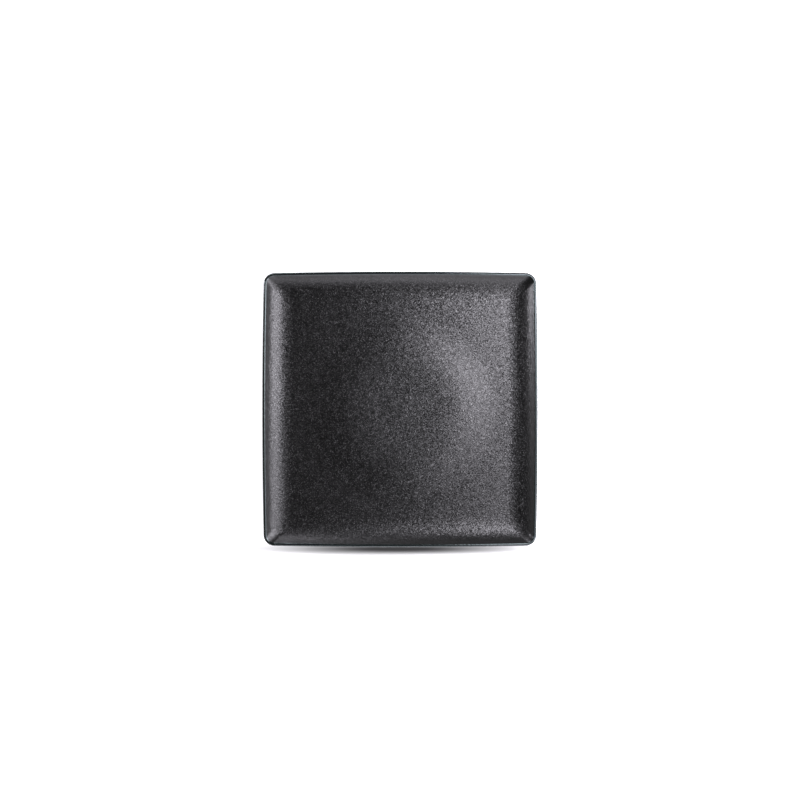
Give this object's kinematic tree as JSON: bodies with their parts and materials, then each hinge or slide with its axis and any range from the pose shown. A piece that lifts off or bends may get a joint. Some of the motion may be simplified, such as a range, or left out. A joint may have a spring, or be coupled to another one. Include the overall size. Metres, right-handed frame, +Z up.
{
  "type": "square dinner plate",
  "caption": "Square dinner plate with gently bowed sides, a coved upturned wall and a rolled rim, standing on a square foot ring; matte black grained glaze over dark stoneware.",
  "frame": {"origin": "middle of the plate, on the plane of the square foot's bearing face", "axes": "+Z up out of the well; +X and +Y square to the sides, with +Y towards the top of the picture"},
  "size_m": [0.265, 0.265, 0.02],
  "materials": {
    "bare_stoneware": "matte",
    "matte_well_glaze": "satin",
    "satin_outer_glaze": "satin"
  },
  "bodies": {
    "root": {"stoneware_body": "bare_stoneware", "well_glaze": "matte_well_glaze", "outer_glaze": "satin_outer_glaze", "recess_glaze": "satin_outer_glaze", "centre_glaze": "satin_outer_glaze"}
  },
  "joints": []
}
